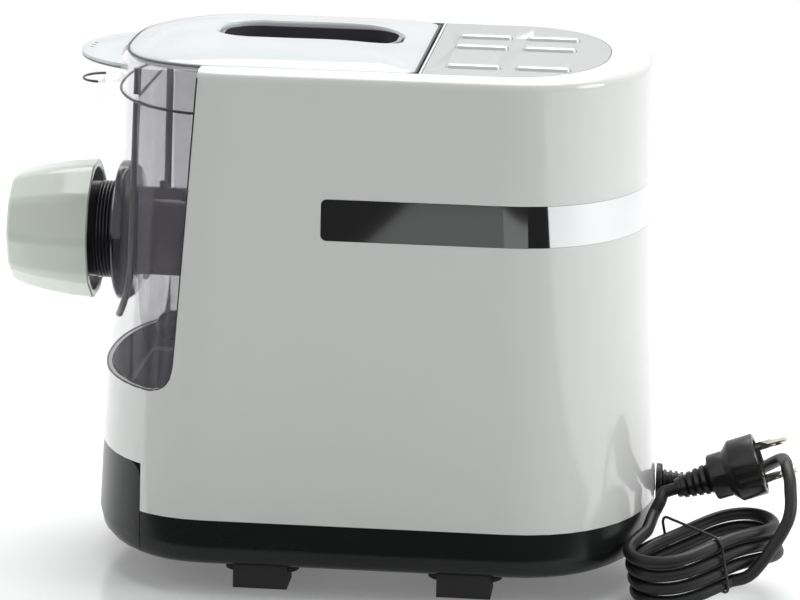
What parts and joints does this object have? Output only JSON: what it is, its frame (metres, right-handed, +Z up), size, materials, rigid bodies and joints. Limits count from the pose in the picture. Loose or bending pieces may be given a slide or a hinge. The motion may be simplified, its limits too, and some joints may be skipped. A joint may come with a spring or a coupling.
{
  "type": "electric pasta maker",
  "caption": "Countertop electric pasta maker with a clear mixing chamber, lid with pouring slot, front extruder, button panel and storage drawer.",
  "frame": {"origin": "on the table, under the middle of the appliance from the nut's face to the casing's rear, without the lead", "axes": "+Z up, +Y towards the rear of the appliance, +X to its right side; the extruder nut faces -Y"},
  "size_m": [0.2134, 0.449, 0.2984],
  "materials": {
    "casing_white": "glossy off-white",
    "base_black": "satin near-black",
    "frame_grey": "moulded light grey",
    "band_steel": "mirror-polished stainless steel",
    "panel_silver": "fine brushed silver",
    "button_silver": "satin silver",
    "board_green": "circuit board laminate",
    "switch_black": "moulded black",
    "part_black": "board components",
    "clear_plastic": "clear smoky plastic",
    "lid_clear": "pale clear plastic",
    "seal_rubber": "soft black silicone",
    "gearbox_plastic": "glass-filled grey",
    "bronze": "sintered bronze",
    "steel": "turned steel",
    "motor_steel": "plated motor can",
    "flange_black": "glossy black",
    "barrel_dark": "dark moulded",
    "nut_white": "pale greenish white",
    "liner_grey": "smoky liner",
    "gear_plastic": "greased natural plastic",
    "paddle_dark": "dark moulded",
    "fan_white": "moulded white",
    "tray_clear": "pale moulded tray",
    "lead_black": "black sheath",
    "tie_black": "coated wire tie",
    "plug_black": "moulded black plug",
    "pin_nickel": "nickel-plated",
    "foot_rubber": "black rubber"
  },
  "bodies": {
    "casing": {"main_shell": "casing_white", "base_tray": "base_black", "top_frame": "frame_grey", "trim_band": "band_steel", "panel_plate": "panel_silver", "control_board": "board_green", "key_switches": "switch_black", "mixing_bowl": "clear_plastic", "shaft_seal": "seal_rubber", "gearbox_cover": "gearbox_plastic", "gearbox_housing": "gearbox_plastic", "output_bearings": "bronze", "idler_pin": "steel", "gearbox_screws": "steel", "motor": "motor_steel", "power_board": "board_green", "board_parts": "part_black", "lid_switch": "switch_black", "drawer_runners": "base_black", "foot_front_right": "foot_rubber", "foot_front_left": "foot_rubber", "foot_rear_right": "foot_rubber", "foot_rear_left": "foot_rubber", "base_screws": "steel", "cord_gland": "lead_black", "cord_lead": "lead_black", "cord_hank": "lead_black", "cord_tail": "lead_black", "cord_tie": "tie_black", "plug_body": "plug_black", "plug_pins": "pin_nickel"},
    "front_unit": {"front_cover": "clear_plastic", "collar_flange": "flange_black", "extruder_barrel": "barrel_dark", "shaping_disc": "bronze"},
    "nut": {"extruder_nut": "nut_white"},
    "latch": {"latch_tab": "clear_plastic"},
    "lid": {"lid_top": "lid_clear", "lid_skirt": "clear_plastic", "lid_brim": "lid_clear", "slot_liner": "liner_grey", "lid_seal": "seal_rubber", "hinge_pins": "steel"},
    "mixer": {"drive_shaft": "steel", "output_gear": "gear_plastic", "mixing_paddle": "paddle_dark", "auger_screw": "steel"},
    "idler": {"idler_gear": "gear_plastic"},
    "rotor": {"rotor_shaft": "steel", "motor_pinion": "bronze", "cooling_fan": "fan_white"},
    "drawer": {"drawer_front": "base_black", "drawer_tray": "tray_clear"},
    "key_1": {"button_1": "button_silver"},
    "key_2": {"button_2": "button_silver"},
    "key_3": {"button_3": "button_silver"},
    "key_4": {"button_4": "button_silver"},
    "key_5": {"button_5": "button_silver"},
    "key_6": {"button_6": "button_silver"}
  },
  "joints": [
    {"name": "front_unit_pull", "type": "slide", "parent": "casing", "child": "front_unit", "axis": [0, -1, 0], "range_m": [0, 0.06]},
    {"name": "nut_turn", "type": "hinge", "parent": "front_unit", "child": "nut", "pos_m": [0, -0.16, 0.18], "axis": [0, 1, 0], "continuous": true},
    {"name": "latch_flex", "type": "hinge", "parent": "front_unit", "child": "latch", "pos_m": [0, -0.1227, 0.2664], "axis": [1, 0, 0], "range_deg": [0, 8], "stiffness_Nm_per_rad": 1},
    {"name": "lid_hinge", "type": "hinge", "parent": "casing", "child": "lid", "pos_m": [0, 0.04581, 0.2863], "axis": [-1, 0, 0], "range_deg": [0, 65]},
    {"name": "mixer_turn", "type": "hinge", "parent": "casing", "child": "mixer", "pos_m": [0, 0, 0.18], "axis": [0, 1, 0], "continuous": true},
    {"name": "idler_turn", "type": "hinge", "parent": "casing", "child": "idler", "pos_m": [0.03204, 0.053, 0.1246], "axis": [0, 1, 0], "continuous": true},
    {"name": "rotor_turn", "type": "hinge", "parent": "casing", "child": "rotor", "pos_m": [0, 0.1, 0.093], "axis": [0, 1, 0], "continuous": true},
    {"name": "drawer_slide", "type": "slide", "parent": "casing", "child": "drawer", "axis": [0, -1, 0], "range_m": [0, 0.075]},
    {"name": "key_1_press", "type": "slide", "parent": "casing", "child": "key_1", "axis": [0, 0, -1], "range_m": [0, 0.001], "stiffness_N_per_m": 800},
    {"name": "key_2_press", "type": "slide", "parent": "casing", "child": "key_2", "axis": [0, 0, -1], "range_m": [0, 0.001], "stiffness_N_per_m": 800},
    {"name": "key_3_press", "type": "slide", "parent": "casing", "child": "key_3", "axis": [0, 0, -1], "range_m": [0, 0.001], "stiffness_N_per_m": 800},
    {"name": "key_4_press", "type": "slide", "parent": "casing", "child": "key_4", "axis": [0, 0, -1], "range_m": [0, 0.001], "stiffness_N_per_m": 800},
    {"name": "key_5_press", "type": "slide", "parent": "casing", "child": "key_5", "axis": [0, 0, -1], "range_m": [0, 0.001], "stiffness_N_per_m": 800},
    {"name": "key_6_press", "type": "slide", "parent": "casing", "child": "key_6", "axis": [0, 0, -1], "range_m": [0, 0.001], "stiffness_N_per_m": 800}
  ],
  "couplings": [
    {"joint": "idler_turn", "follows": "mixer_turn", "ratio": -3},
    {"joint": "rotor_turn", "follows": "mixer_turn", "ratio": 12}
  ]
}
